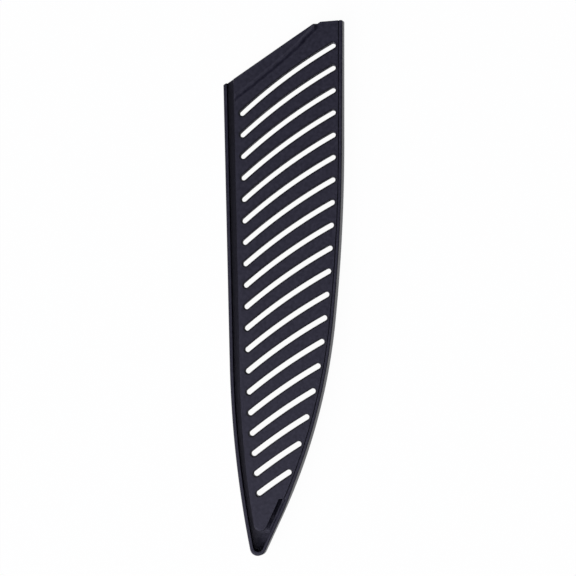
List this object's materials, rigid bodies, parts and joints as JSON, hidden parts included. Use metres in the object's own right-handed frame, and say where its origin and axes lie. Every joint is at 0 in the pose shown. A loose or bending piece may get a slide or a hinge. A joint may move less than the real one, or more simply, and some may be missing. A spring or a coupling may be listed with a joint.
{
  "type": "knife blade guard",
  "caption": "Slim slotted plastic guard for a chef's knife blade: a rimmed back shell and a spring front panel with slanted see-through slots.",
  "frame": {"origin": "on the flat back face, under the middle of the guard's bounding box", "axes": "+Y from the tip towards the mouth, +X towards the cutting edge side, +Z out of the slotted front"},
  "size_m": [0.0494, 0.2198, 0.0064],
  "materials": {
    "shell_plastic": "fine spark-eroded texture, semi-matt black polypropylene",
    "panel_plastic": "fine spark-eroded texture, semi-matt black polypropylene"
  },
  "bodies": {
    "shell": {"back_shell": "shell_plastic"},
    "panel": {"front_panel": "panel_plastic"}
  },
  "joints": [
    {"name": "panel_flex", "type": "hinge", "parent": "shell", "child": "panel", "pos_m": [0.0224, 0, 0.0056], "axis": [0, 1, 0], "range_deg": [0, 2.5], "stiffness_Nm_per_rad": 1}
  ]
}
